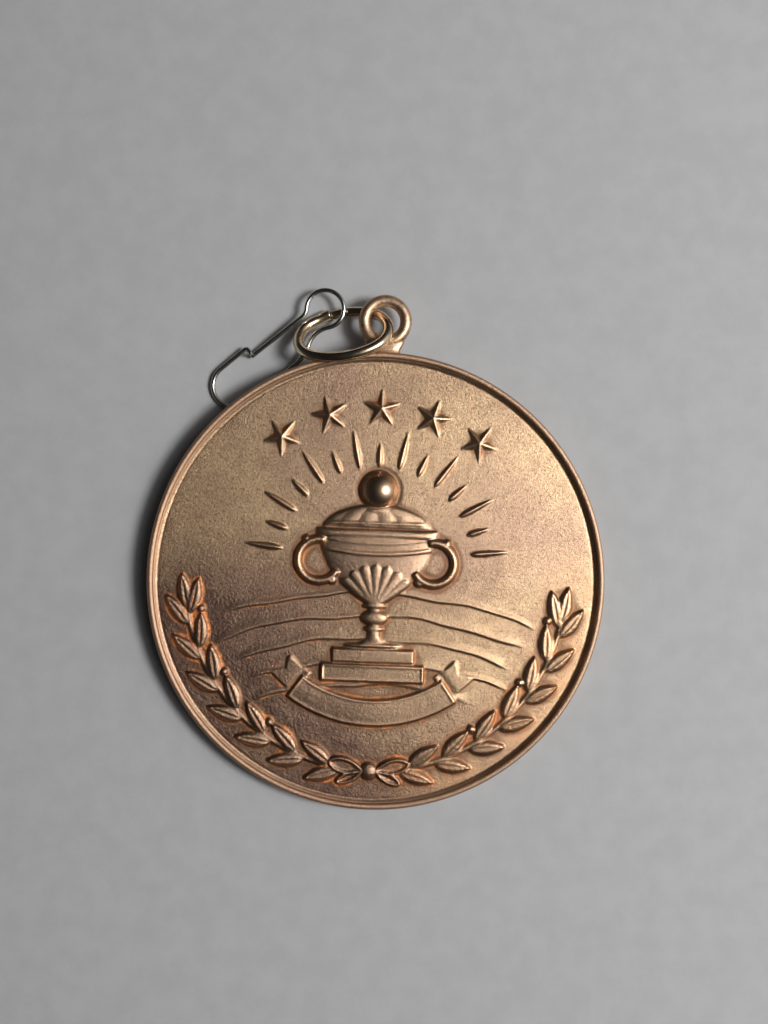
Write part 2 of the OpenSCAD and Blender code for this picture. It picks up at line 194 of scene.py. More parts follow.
def add_leaf(relief, cx, cy, degrees):
    """One leaf from its foot in a direction."""
    w = relief.window(cx, cy, LEAF_LEN + 0.5)
    along, across = local(relief.x[w], relief.y[w], cx, cy, degrees)
    relief.raise_to(w, leaf_height(along, across))


def polar(r, degrees):
    """The point at a radius and an angle from X."""
    return r * math.cos(math.radians(degrees)), r * math.sin(math.radians(degrees))


def add_sprays(relief):
    """Two mirrored sprays: a stem, leaves in pairs, berries and a leaf at the tip."""
    first = 270 + SPRAY_ROOT
    step = (90 - SPRAY_TOP - SPRAY_ROOT) / LEAF_PAIRS
    r = np.hypot(relief.x, relief.y)
    angle = np.degrees(np.arctan2(relief.y, np.abs(relief.x))) + 360
    shown = (angle > first - 4) & (angle < 353)
    stem = ridge(r - SPRAY_R, STEM_HALF, STEM_RISE) * shown
    relief.raise_to(slice(None), stem)
    for sign in (1, -1):
        def flip(degrees):
            return degrees if sign > 0 else 180 - degrees

        for i in range(LEAF_PAIRS):
            a = first + i * step
            for side in (-1, 1):
                at = a + (LEAF_LAG if side < 0 else 0)
                cx, cy = polar(SPRAY_R + side * 0.35, flip(at))
                add_leaf(relief, cx, cy, flip(at + 90 - side * LEAF_TILT))
            if i % 2 == 1:
                cx, cy = polar(SPRAY_R - BERRY_IN, flip(a + LEAF_LAG + step * 1.08))
                w = relief.window(cx, cy, 1)
                d = np.hypot(relief.x[w] - cx, relief.y[w] - cy)
                relief.raise_to(w, ridge(d, BERRY_R, BERRY_RISE))
        a = 360 - SPRAY_TOP - step * 0.6
        cx, cy = polar(SPRAY_R, flip(a))
        add_leaf(relief, cx, cy, flip(a + 90))


def add_bow(relief):
    """Two loops and two tails with raised edges, and a round knot."""
    for sign in (1, -1):
        for turn, length, width in BOW_PARTS:
            degrees = turn if sign > 0 else 180 - turn
            w = relief.window(sign, -SPRAY_R, 7)
            along, across = local(relief.x[w], relief.y[w], sign * 0.8, -SPRAY_R, degrees)
            u = np.clip(along / length, 0, 1)
            half = width / 2 * np.sqrt(np.clip(np.sin(math.pi * u ** 1.25), 0, 1)) + 1e-6
            edge = half - np.abs(across)
            loop = 0.36 + 0.34 * np.exp(-(((edge - 0.32) / 0.26) ** 2))
            inside = (along > 0) & (along < length)
            relief.raise_to(w, np.where(inside, loop * smooth(edge / 0.16), 0))
    w = relief.window(0, -SPRAY_R, 2)
    d = np.hypot(relief.x[w] / 1.1, relief.y[w] + SPRAY_R)
    relief.raise_to(w, ridge(d, KNOT_R, KNOT_RISE))


def add_star(relief, degrees):
    """Faceted five-pointed star on a thin flat step, one point outwards."""
    cx, cy = polar(STAR_ARC_R, degrees)
    w = relief.window(cx, cy, STAR_R + 0.3)
    along, across = local(relief.x[w], relief.y[w], cx, cy, degrees)
    rho = np.hypot(along, across)
    theta = np.abs((np.degrees(np.arctan2(across, along)) + 36) % 72 - 36)
    inner = STAR_R * math.sin(math.radians(18)) / math.sin(math.radians(54))
    tip = np.array([STAR_R, 0])
    notch = inner * np.array([math.cos(math.radians(36)), math.sin(math.radians(36))])
    normal = np.array([notch[1] - tip[1], tip[0] - notch[0]])
    normal /= np.linalg.norm(normal)
    reach = normal @ tip
    t = np.radians(theta)
    edge = rho * (np.cos(t) * normal[0] + np.sin(t) * normal[1]) / reach
    facets = (STAR_RISE + 0.05) * np.clip(1 - edge, 0, 1)
    relief.raise_to(w, facets + 0.08 * smooth((1.03 - edge) / 0.1))


def add_rays(relief):
    """Lozenge rays round the cup, long and short in turn."""
    dx, dy = relief.x, relief.y - RAY_Y
    rho = np.hypot(dx, dy)
    phi = np.degrees(np.arctan2(dx, dy))
    index = np.round(phi / RAY_STEP)
    out = RAY_OUT - np.where(index % 2 == 0, RAY_SHORT, 0)
    t = np.clip((rho - RAY_IN) / (out - RAY_IN), 0, 1)
    half = 0.5 * np.sin(math.pi * np.clip(t, 0.02, 0.99) ** 0.62) + 0.03
    offset = np.abs(np.radians(phi - index * RAY_STEP)) * rho
    shown = (rho > RAY_IN) & (rho < out) & (np.abs(index) <= RAY_LAST)
    ray = RAY_RISE * np.clip(1.3 * (1 - offset / half), 0, 1) * smooth(half / 0.3)
    relief.raise_to(slice(None), np.where(shown, ray, 0))


def add_ground(relief):
    """Low wavering terraces behind the cup's foot, each with a crisp lower edge."""
    r = np.hypot(relief.x, relief.y)
    rho = np.hypot(relief.x, relief.y - GROUND_Y)
    for i, radius in enumerate(GROUND_RADII):
        waver = 0.22 * np.sin(relief.x * 0.31 + i * 2.1) + 0.1 * np.sin(relief.x * 0.74 + i)
        above = rho - radius - waver
        swell = 1.6 + 0.5 * np.sin(relief.x * 0.19 + i * 1.7)
        edge = smooth((above + 0.18) / 0.3) * smooth(1 - above / swell) ** 1.5
        fade = smooth((25.5 - r - 1.5 * np.sin(i * 2.4 + relief.x * 0.1)) / 3)
        relief.raise_to(slice(None), GROUND_RISE * edge * fade)


def add_scroll(relief):
    """Blank scroll under the plinth, with a raised edge and folded ends."""
    r = np.hypot(relief.x, relief.y)
    off = np.abs(np.degrees(np.arctan2(relief.x, -relief.y)))
    tail = np.minimum(np.minimum(r - TAIL_IN, TAIL_OUT - r), (TAIL_END - off) * 0.34)
    notch = np.abs(r - (TAIL_IN + TAIL_OUT) / 2) - (off - 43.6) * 0.42
    tail = np.minimum(tail, np.where(off > 43, notch, 9))
    fold = 0.27 - 0.12 * np.exp(-(((off - 36.5) / 1.6) ** 2))
    relief.raise_to(slice(None), plateau(tail, 0.18, 1) * fold * (off > 33))
    inside = np.minimum(np.minimum(r - SCROLL_IN, SCROLL_OUT - r), (SCROLL_END - off) * 0.35)
    middle = (SCROLL_IN + SCROLL_OUT) / 2
    body = 0.44 + 0.1 * np.cos((r - middle) / 2.1 * 1.4) + 0.03 * np.cos(np.radians(off) * 9)
    edge = 0.1 * np.exp(-(((inside - 0.34) / 0.17) ** 2))
    relief.raise_to(slice(None), plateau(inside, 0.16, 1) * (body + edge))


def turned(x, radius, rise, power=2.2):
    """Half-round relief of a turned form: radius at each height."""
    side = np.abs(x) / np.maximum(radius, 1e-6)
    return rise * np.sqrt(np.clip(1 - side ** power, 0, 1))


def add_cup(relief):
    """Lidded cup with handles, on a turned stem and a stepped plinth."""
    w = relief.window(0, 0, 19)
    x, y = relief.x[w], relief.y[w]
    foot_y = BOWL_Y - STEM_H - FOOT_H
    # Handles: a round bow, a dimpled curl at its foot and a bead on its shoulder
    for sign in (1, -1):
        ax = (x - sign * (CUP_W / 2 + HANDLE_OUT)) * sign
        ay = y - (MOUTH_Y - HANDLE_DROP)
        turn = np.degrees(np.arctan2(ay, ax))
        shown = (turn > HANDLE_FROM) & (turn < HANDLE_TO)
        bow = np.where(shown, np.abs(np.hypot(ax, ay) - HANDLE_R), 9)
        relief.raise_to(w, ridge(bow, HANDLE_HALF, 0.8))
        curl = np.hypot(ax + 2.1, ay + 2.9)
        relief.raise_to(w, ridge(curl, 0.8, 0.84) - 0.2 * np.exp(-((curl / 0.3) ** 2)))
        bead = np.hypot(ax - 2.0, ay - 3.2)
        relief.raise_to(w, ridge(bead, 0.62, 0.7))
    # Stem and foot
    t = np.clip((y - foot_y) / FOOT_H, 0, 1)
    r_stem = 1 + PLINTH_W * 0.24 * (1 - t) ** 2.2
    on = (y > foot_y) & (y < BOWL_Y + 1)
    relief.raise_to(w, np.where(on, turned(x, r_stem, 0.3 + 0.3 / np.sqrt(r_stem)), 0))
    # Turned beads on them: centre, half-height, radius and rise
    for cy, half, radius, rise in (
        (BOWL_Y - STEM_H * 0.45, 1.15, 2.15, 0.86),
        (BOWL_Y - STEM_H * 0.82, 0.42, 1.55, 0.66),
        (BOWL_Y - 0.25, 0.45, 1.9, 0.74),
        (foot_y + 0.45, 0.4, PLINTH_W * 0.29, 0.62),
    ):
        v = np.clip(1 - ((y - cy) / half) ** 2, 0, 1)
        bead = turned(x, radius * np.sqrt(v) + 1e-6, rise * v ** 0.3, 2.6)
        relief.raise_to(w, bead * (v > 0))
    # Bowl
    u = np.clip((y - BOWL_Y) / (CUP_H * 0.86), 0, 1)
    r_bowl = CUP_W / 2 * (0.12 + 0.88 * np.sin(math.pi / 2 * u) ** 0.75)
    on = (y > BOWL_Y) & (y < MOUTH_Y)
    bowl = np.where(on, turned(x, r_bowl, CUP_RISE * (0.62 + 0.38 * u), 2.6), 0)
    relief.raise_to(w, bowl)
    # Gadroons fan over the lower bowl, under a thin moulding
    for i in range(GADROONS):
        tilt = (i - GADROONS // 2) * GADROON_STEP
        along, across = local(x, y, 0, BOWL_Y - 0.4, 90 - tilt)
        half = 0.38 + 0.58 * np.clip(along / GADROON_LEN, 0, 1)
        cap = np.sqrt(np.clip(1 - (np.clip(along - GADROON_LEN + 0.9, 0, 9) / 0.9) ** 2, 0, 1))
        lobe = ridge(across, half * cap + 1e-6, 1) * (along > 0.3) * (cap > 0)
        form = np.where(lobe > 0.02, bowl * 0.9 + GADROON_RISE * lobe, 0)
        relief.raise_to(w, form * (bowl > 0.05))
    for cy, half, extra in ((BOWL_Y + CUP_H * 0.67, 0.34, 0.17), (MOUTH_Y - 2.2, 0.22, 0.09)):
        band = ridge(y - cy - 0.012 * x * x, half, extra)
        relief.raise_to(w, np.where((band > 0) & (bowl > 0.05), bowl + band, 0))
    # Lip, lid and its collar
    lip = ridge(y - MOUTH_Y + 0.75, 0.75, 1)
    relief.raise_to(w, turned(x, CUP_W / 2 + 0.7, CUP_RISE + 0.12, 5) * lip ** 0.6)
    top = MOUTH_Y + 0.15
    v = np.clip((y - top) / LID_H, 0, 1)
    r_lid = CUP_W / 2 * 0.98 * np.sqrt(np.clip(1 - v ** 1.7, 0, 1)) + 1e-6
    lid = turned(x, r_lid, LID_RISE, 2.4) * ((y > top) & (v < 1))
    flute = np.abs(np.sin(np.clip(x / r_lid, -1, 1) * 8.5)) * smooth((0.85 - v) / 0.35)
    relief.raise_to(w, lid * (0.86 + 0.14 * flute))
    relief.raise_to(w, turned(x, CUP_W / 2 * 0.9, 0.82, 4) * ridge(y - top - 0.75, 0.3, 1) ** 0.6)
    relief.raise_to(w, turned(x, 2.3, 0.8, 3) * ridge(y - top - LID_H + 0.95, 0.6, 1) ** 0.7)
    # Plinth: two bevelled steps, the lower with a sunk panel
    for low, high, half, rise in (
        (BASE_Y + PLINTH_H * 0.55, BASE_Y + PLINTH_H, PLINTH_W * 0.4, 0.58),
        (BASE_Y, BASE_Y + PLINTH_H * 0.55, PLINTH_W * 0.5, 0.76),
    ):
        inside = np.minimum(np.minimum(y - low, high - y), half - np.abs(x))
        panel = 0.12 * smooth((inside - 0.42) / 0.14) * (half > PLINTH_W * 0.45)
        relief.raise_to(w, plateau(inside, 0.2, rise) - panel)


def add_ball(relief):
    """Polished ball on the lid, in a narrow sunk seat."""
    w = relief.window(0, BALL_Y, BALL_R + 2)
    d = np.hypot(relief.x[w], relief.y[w] - BALL_Y)
    sphere = (BALL_R ** 2 + BALL_RISE ** 2) / (2 * BALL_RISE)
    cap = BALL_RISE - sphere + np.sqrt(np.clip(sphere ** 2 - d ** 2, 0, None))
    relief.h[w] -= SEAT_DEPTH * np.exp(-(((d - BALL_R - 0.3) / 0.35) ** 2))
    clear = smooth((cap - relief.h[w]) / 0.12)
    relief.h[w] = np.where(d < BALL_R, np.maximum(cap, relief.h[w]), relief.h[w])
    relief.shine[w] = smooth((BALL_R - d) / 0.15) * clear


def strike():
    """The whole face: relief, its softened edges, and where patina, painted shade and wear lie."""
    relief = Relief()
    add_ground(relief)
    add_rays(relief)
    add_sprays(relief)
    add_bow(relief)
    for i in range(STARS):
        add_star(relief, 90 + (i - STARS // 2) * STAR_STEP)
    add_scroll(relief)
    add_cup(relief)
    r = np.hypot(relief.x, relief.y)
    lumps = sum(
        np.sin(relief.x * math.cos(a) * k + relief.y * math.sin(a) * k + a * 5)
        for a, k in LUMPS
    )
    # Softened edges, then the ball, which stays crisp
    crisp = relief.h
    relief.h = 0.7 * blur(crisp, 0.06) + 0.3 * blur(crisp, 0.12)
    add_ball(relief)
    relief.h += DISH_RISE * smooth((r - DISH_R) / 4.5)
    relief.h += LUMP_RISE * lumps
    # Hollows, edges, creases and tops
    wide = blur(relief.h, 0.85)
    near = blur(relief.h, 0.3)
    relief.sunk = np.clip((wide - relief.h) / 0.2, 0, 1) * (1 - relief.shine)
    relief.proud = np.clip((relief.h - near) / 0.1, 0, 1)
    relief.crease = np.clip((near - relief.h) / 0.07, 0, 1) * (1 - relief.shine)
    relief.high = smooth(relief.h / 0.4) * (1 - relief.shine)
    # Patina among the crowded relief, plus painted shade darker towards the left, the bottom and
    # the top; coppery towards the lower right
    crowd = blur(np.clip(crisp / 0.4, 0, 1), 2.2)
    left = smooth((24 - relief.x) / 44)
    band = smooth((r - 20) / 9) * smooth((4 - relief.y) / 14) * (0.25 + 0.75 * left)
    low = smooth((9 - relief.y) / 14) * left
    upper = smooth((relief.y - 18) / 14)
    relief.toned = np.clip(
        crowd * band + 0.65 * band + 0.72 * low + 0.2 * crowd + 0.22 * upper, 0, 1
    )
    relief.glow = smooth((r - 22) / 9) * smooth((relief.x + 4) / 20) * smooth((8 - relief.y) / 14)
    relief.toned *= (1 - relief.shine) * (1 - 0.12 * np.clip(crisp / 0.5, 0, 1))
    return relief


# ---------------------------------------------------------------- meshes
def new_object(name, verts, faces, smooth_faces=True):
    """A mesh object from points in mm."""
    mesh = bpy.data.meshes.new(name)
    mesh.from_pydata([tuple(v) for v in np.asarray(verts) * MM], [], faces)
    mesh.validate()
    mesh.polygons.foreach_set("use_smooth", [smooth_faces] * len(mesh.polygons))
    mesh.update()
    obj = bpy.data.objects.new(name, mesh)
    bpy.context.scene.collection.objects.link(obj)
    return obj


def set_layer(obj, name, values):
    """A number at each vertex, for the materials to read."""
    layer = obj.data.attributes.new(name, "FLOAT", "POINT")
    layer.data.foreach_set("value", np.asarray(values, dtype=np.float32))


def disc_grid(steps):
    """A square grid spread over a disc, so that its border is an even circle."""
    t = np.linspace(-1, 1, steps + 1)
    a, b = np.meshgrid(t, t)
    wide = np.abs(a) > np.abs(b)
    r = np.where(wide, a, b)
    with np.errstate(divide="ignore", invalid="ignore"):
        phi = np.where(wide, math.pi / 4 * b / a, math.pi / 2 - math.pi / 4 * a / b)
    phi = np.where(r == 0, 0, phi)
    return r * np.cos(phi), r * np.sin(phi)


def build_medal():
    """Struck face on a square grid, then rings of faces down the rim, edge and back."""
    relief = strike()
    gx, gy = disc_grid(FACE_STEPS)
    gx, gy = gx * FACE_R, gy * FACE_R
    x, y = gx.ravel(), gy.ravel()
    z = FIELD_Z + relief.sample(relief.h, x, y)
    n = FACE_STEPS + 1
    index = np.arange(n * n).reshape(n, n)
    border = np.concatenate([index[0, :-1], index[:-1, -1], index[-1, :0:-1], index[:0:-1, 0]])
    z[border] = FIELD_Z
    verts = [np.column_stack([x, y, z])]
    quads = np.stack([index[:-1, :-1], index[:-1, 1:], index[1:, 1:], index[1:, :-1]], -1)
    faces = quads.reshape(-1, 4).tolist()
    # Rim: a cove, a fine groove and a round lip; then the edge wall and the back
    lip_foot = LIP_R - LIP_HALF
    cove = [
        (FACE_R + (lip_foot - FACE_R) * t, FIELD_Z + COVE_RISE * t ** 1.8)
        for t in (0.2, 0.4, 0.57, 0.72, 0.86, 0.95)
    ]
    groove = [(lip_foot + 0.02, FIELD_Z + COVE_RISE - 0.06)]
    bead = cove + groove + [
        (LIP_R + LIP_HALF * math.cos(a), RIM_TOP - LIP_HALF + LIP_HALF * math.sin(a))
        for a in np.radians([176, 158, 140, 122, 105, 90, 74, 58, 42, 26, 8, -14, -36])
    ]
    edge = [(WALL_R, 1.2), (WALL_R, BEVEL_H + 0.06), (WALL_R - 0.03, BEVEL_H)]
    edge += [(WALL_R - BEVEL_W + 0.08, 0.03), (WALL_R - BEVEL_W, 0)]
    back = [(r, 0.0) for r in (28, 16, 4)]
    angle = np.arctan2(y[border], x[border])
    ring, count, total = border, len(border), n * n
    layers = [[relief.sample(getattr(relief, name), x, y) for name in LAYERS]]
    for r, height in bead + edge + back:
        # Small dents, on the rim alone
        dent = 0.012 * np.sin(angle * 7 + 1) * np.sin(angle * 3) + 0.006 * np.sin(angle * 41)
        on_bead = smooth((height - FIELD_Z) / 0.4) if height > 1.5 else 0.0
        verts.append(np.column_stack([
            r * np.cos(angle), r * np.sin(angle), height + (dent - 0.015) * on_bead
        ]))
        here = np.arange(total, total + count)
        faces += np.stack([ring, here, np.roll(here, -1), np.roll(ring, -1)], -1).tolist()
        in_groove = 0.55 if (r, height) in groove else 0.0
        # Patina and painted shade on the rim: more on the edge wall and back than on the bead
        here_is = {"sunk": in_groove, "crease": in_groove, "proud": 0.4 * on_bead,
                   "rim": on_bead, "toned": 0.6 if height < 1 else 0.25}
        layers.append([np.full(count, here_is.get(name, 0.0)) for name in LAYERS])
        ring, total = here, total + count
    verts.append(np.array([[0, 0, 0]]))
    layers.append([np.zeros(1)] * len(LAYERS))
    faces += [[int(a), total, int(b)] for a, b in zip(ring, np.roll(ring, -1))]
    medal = new_object("struck_medal", np.vstack(verts), faces)
    for i, name in enumerate(LAYERS):
        set_layer(medal, name, np.concatenate([layer[i] for layer in layers]))
    return medal


def tube(name, points, radius, around, flaws, ends=("cut", "cut")):
    """Wire along a path, a little out of round, with cut or rounded ends."""
    pts = np.asarray(points, float)
    count = len(pts)
    ahead = np.gradient(pts, axis=0)
    ahead /= np.linalg.norm(ahead, axis=1)[:, None]
    side = np.cross(ahead[0], [0.13, 0.29, 0.95])
    sides = []
    for t in ahead:
        side = side - t * (side @ t)
        side /= np.linalg.norm(side)
        sides.append(side)
    sides = np.array(sides)
    others = np.cross(ahead, sides)
    run = np.concatenate([[0], np.cumsum(np.linalg.norm(np.diff(pts, axis=0), axis=1))])
    phi = np.linspace(0, 2 * math.pi, around, endpoint=False)
    loops, runs = [], []

    def loop(i, scale, push):
        """One ring of points round the wire, moved along it."""
        out_of_round = 1 + flaws * (
            np.sin(2 * phi + run[i] * 0.9) + 0.6 * np.sin(3 * phi - run[i] * 1.7 + 1)
        )
        r = radius * scale * out_of_round
        loops.append(
            pts[i] + ahead[i] * push
            + np.outer(r * np.cos(phi), sides[i]) + np.outer(r * np.sin(phi), others[i])
        )
        runs.append(run[i] + push)

    def cap(end, i, inward):
        """The rings of one end: cut off, with a worn edge, or domed."""
        shape = CUT_END if end == "cut" else [
            (math.cos(a), -radius * math.sin(a)) for a in np.radians(ROUND_END)
        ]
        for scale, push in shape[::inward]:
            loop(i, scale, push * inward)

    cap(ends[0], 0, 1)
    for i in range(int(ends[0] == "cut"), count - int(ends[1] == "cut")):
        loop(i, 1, 0)
    cap(ends[1], count - 1, -1)
    verts = np.vstack(loops + [loops[0].mean(0)[None], loops[-1].mean(0)[None]])
    base = np.arange(around)
    faces = []
    for k in range(len(loops) - 1):
        a, b = base + k * around, base + (k + 1) * around
        faces += np.stack([a, np.roll(a, -1), np.roll(b, -1), b], -1).tolist()
    first, last = len(verts) - 2, len(verts) - 1
    top = base + (len(loops) - 1) * around
    faces += [[first, int(b), int(a)] for a, b in zip(base, np.roll(base, -1))]
    faces += [[last, int(a), int(b)] for a, b in zip(top, np.roll(top, -1))]
    wire = new_object(name, verts, faces)
    set_layer(wire, "along", np.append(np.repeat(runs, around), [runs[0], runs[-1]]) * MM)
    cut = np.zeros(len(verts))
    if ends[0] == "cut":
        cut[: 2 * around] = 1
        cut[first] = 1
    if ends[1] == "cut":
        cut[len(loops) * around - 2 * around: len(loops) * around] = 1
        cut[last] = 1
    set_layer(wire, "cut_end", cut)
    return wire


def arc(centre, r, a0, a1):
    """Points round an arc in the plane z = 0."""
    steps = max(3, int(abs(math.radians(a1 - a0)) * r / PITCH))
    return [
        (centre[0] + r * math.cos(a), centre[1] + r * math.sin(a), 0)
        for a in np.radians(np.linspace(a0, a1, steps + 1))
    ]


def line(p, q):
    """Points along a straight run."""
    p, q = np.array(p, float), np.array(q, float)
    steps = max(2, int(np.linalg.norm(q - p) / PITCH))
    return [tuple(p + (q - p) * t) for t in np.linspace(0, 1, steps + 1)]


def chain(*runs):
    """Joins runs of points, dropping the repeated ones where they meet."""
    points = []
    for run in runs:
        for p in run:
            if not points or np.linalg.norm(np.subtract(p, points[-1])) > 0.02:
                points.append(p)
    return np.array(points)


def spin(degrees):
    """Turns about X, then Y, then Z."""
    x, y, z = np.radians(degrees)
    rx = np.array([[1, 0, 0], [0, math.cos(x), -math.sin(x)], [0, math.sin(x), math.cos(x)]])
    ry = np.array([[math.cos(y), 0, math.sin(y)], [0, 1, 0], [-math.sin(y), 0, math.cos(y)]])
    rz = np.array([[math.cos(z), -math.sin(z), 0], [math.sin(z), math.cos(z), 0], [0, 0, 1]])
    return rz @ ry @ rx


def heading(p, q):
    """Degrees from p to q, anticlockwise from X."""
    return math.degrees(math.atan2(q[1] - p[1], q[0] - p[0]))


# ---------------------------------------------------------------- eye
def build_eye():
    """Round eye on a spread foot, remeshed to one smooth casting."""
    steps, sides = 96, 32
    around = np.linspace(0, 2 * math.pi, steps + 1)[:-1]
    turn = np.linspace(0, 2 * math.pi, sides + 1)[:-1]
    a, b = np.meshgrid(around, turn, indexing="ij")
    # The wire is a little thicker at its foot
    swell = 1 + 0.05 * smooth((-np.sin(a) - 0.35) / 0.6)
    r = EYE_WIRE_R * swell * 0.995
    x = (EYE_R + r * np.cos(b)) * np.cos(a)
    y = (EYE_R + r * np.cos(b)) * np.sin(a) + EYE[1]
    z = r * np.sin(b) + EYE[2]
    verts = np.column_stack([x.ravel(), y.ravel(), z.ravel()])
    index = np.arange(len(verts)).reshape(steps, sides)
    faces = np.stack([
        index, np.roll(index, -1, 0), np.roll(np.roll(index, -1, 0), -1, 1), np.roll(index, -1, 1)
    ], -1).reshape(-1, 4).tolist()
    # Foot: oval sections up from the medal's edge, their lower ones curved to it
    sections = []
    for height, half, thick in EYE_FOOT:
        dip = WALL_R - math.sqrt(WALL_R ** 2 - half ** 2)
        c, s = np.cos(turn), np.sin(turn)
        sections.append(np.column_stack([
            half * np.sign(c) * np.abs(c) ** 0.8,
            height - dip * c * c * (1 if height < 35.3 else 0.5),
            EYE[2] + thick * np.sign(s) * np.abs(s) ** 0.8,
        ]))
    base = len(verts)
    verts = np.vstack([verts] + sections + [sections[0].mean(0)[None], sections[-1].mean(0)[None]])
    ring = np.arange(sides)
    for k in range(len(EYE_FOOT) - 1):
        p, q = base + ring + k * sides, base + ring + (k + 1) * sides
        faces += np.stack([p, q, np.roll(q, -1), np.roll(p, -1)], -1).tolist()
    low, high = base + ring, base + ring + (len(EYE_FOOT) - 1) * sides
    faces += [[len(verts) - 2, int(p), int(q)] for p, q in zip(low, np.roll(low, -1))]
    faces += [[len(verts) - 1, int(q), int(p)] for p, q in zip(high, np.roll(high, -1))]
    eye = new_object("round_eye", verts, faces)
    remesh = eye.modifiers.new("weld", "REMESH")
    remesh.mode = "VOXEL"
    remesh.voxel_size = VOXEL * MM
    relax = eye.modifiers.new("relax", "CORRECTIVE_SMOOTH")
    relax.use_only_smooth = True
    relax.iterations = 10
    apply_modifiers(eye)
    co = np.empty(len(eye.data.vertices) * 3)
    eye.data.vertices.foreach_get("co", co)
    co = co.reshape(-1, 3) / MM
    junction = smooth(1 - np.abs(np.hypot(co[:, 0], co[:, 1] - EYE[1]) - JOINT_R) / 0.5)
    junction *= smooth((JOINT_TOP - co[:, 1]) / 0.6)
    braze = smooth((BRAZE_TOP - co[:, 1]) / 0.5)
    set_layer(eye, "sunk", np.clip(0.5 * junction + 0.75 * braze, 0, 1))
    return eye


def apply_modifiers(obj):
    """Keeps the remeshed surface as the object's own mesh."""
    depsgraph = bpy.context.evaluated_depsgraph_get()
    mesh = bpy.data.meshes.new_from_object(obj.evaluated_get(depsgraph))
    obj.modifiers.clear()
    obj.data = mesh
    mesh.polygons.foreach_set("use_smooth", [True] * len(mesh.polygons))


# ---------------------------------------------------------------- jump ring
# As the solid: an oval of four arcs, tilted to clear the eye's wire above and below
RING_WIRE_R, WIRE_GAP = 0.825, 0.07
RING_A, RING_B, END_R = 7.04, 4.8, 4.08
END_C, SIDE_DROP = RING_A - END_R, RING_B - END_R
SIDE_C = (END_C ** 2 - SIDE_DROP ** 2) / (2 * SIDE_DROP)
SIDE_R = RING_B + SIDE_C
SIDE_HALF = math.degrees(math.atan(END_C / SIDE_C))
SPLIT_AT, SPLIT_HALF = 9.6, 0.68       # degrees from the middle of the far side
RING_GRIP = 1.246 * RING_B
RING_TILT = math.degrees(math.asin(2 * (EYE_WIRE_R + RING_WIRE_R + WIRE_GAP) / RING_GRIP))
RING_TURN = (-RING_TILT, -4, 10.4)
RING_TIP = EYE_R * np.array([0.15875, -0.305625, 0.2096875])   # its end, from the eye
RING_AT = EYE + RING_TIP - spin(RING_TURN) @ (RING_A, 0, 0)


def build_ring():
    """Oval split ring: four arcs of wire from one cut end round to the other."""
    start = 90 + SPLIT_AT + SPLIT_HALF
    path = chain(
        arc((0, -SIDE_C), SIDE_R, start, 90 + SIDE_HALF),
        arc((-END_C, 0), END_R, 90 + SIDE_HALF, 270 - SIDE_HALF),
        arc((0, SIDE_C), SIDE_R, 270 - SIDE_HALF, 270 + SIDE_HALF),
        arc((END_C, 0), END_R, SIDE_HALF - 90, 90 - SIDE_HALF),
        arc((0, -SIDE_C), SIDE_R, 90 - SIDE_HALF, 90 + SPLIT_AT - SPLIT_HALF),
    )
    # The cut ends stand a little out of line, and the oval isn't quite even
    t = np.linspace(0, 1, len(path))
    path[:, 2] += 0.22 * smooth(1 - t / 0.06) - 0.16 * smooth((t - 0.95) / 0.05)
    path[:, :2] *= 1 + (0.004 * np.sin(t * 14 + 1))[:, None]
    path = path @ spin(RING_TURN).T + RING_AT
    return tube("oval_jump_ring", path, RING_WIRE_R, around=36, flaws=0.004)


# ---------------------------------------------------------------- hook and gate
# As the solid: bent in one plane, with its loop round the ring's left end
HOOK_WIRE_R = 0.36
HOOK_W, HOOK_LEN, SHORT_LEG = 6.8, 24.9, 4.76
U_R = HOOK_W / 2
LOOP_R, NECK_R, GATE_NECK_R, LEG_FILLET = 2.91, 4.0, 2.0, 7.0
LOOP_AT = (HOOK_LEN - LOOP_R, 3.82)
NECK_LIFT, GATE_T = 1.75, 5.12
CATCH_R, CATCH_REACH, CATCH_LIFT = 0.45, 1.5, 25
HOOK_TURN = (0, -3.78, 40.44)
HOOK_SPOT = math.radians(116.4)        # round the ring's end arc, where the hook hangs
SPOT = (END_R * math.cos(HOOK_SPOT) - END_C, END_R * math.sin(HOOK_SPOT), 0)
LOOP_SHIFT = np.array([2.05, 2.06, -0.176 + RING_WIRE_R + HOOK_WIRE_R])
HOOK_AT = RING_AT + spin(RING_TURN) @ SPOT + LOOP_SHIFT - spin(HOOK_TURN) @ (*LOOP_AT, 0)
GATE_WIRE_R = HOOK_WIRE_R * 0.985      # a hair thinner than the hook at its root
GATE_TIP = (0.2, 0.22, -0.3)           # from the catch and the gate's own line


def across(slant, side):
    """Other side of a right-angled triangle."""
    return math.sqrt(slant ** 2 - side ** 2)


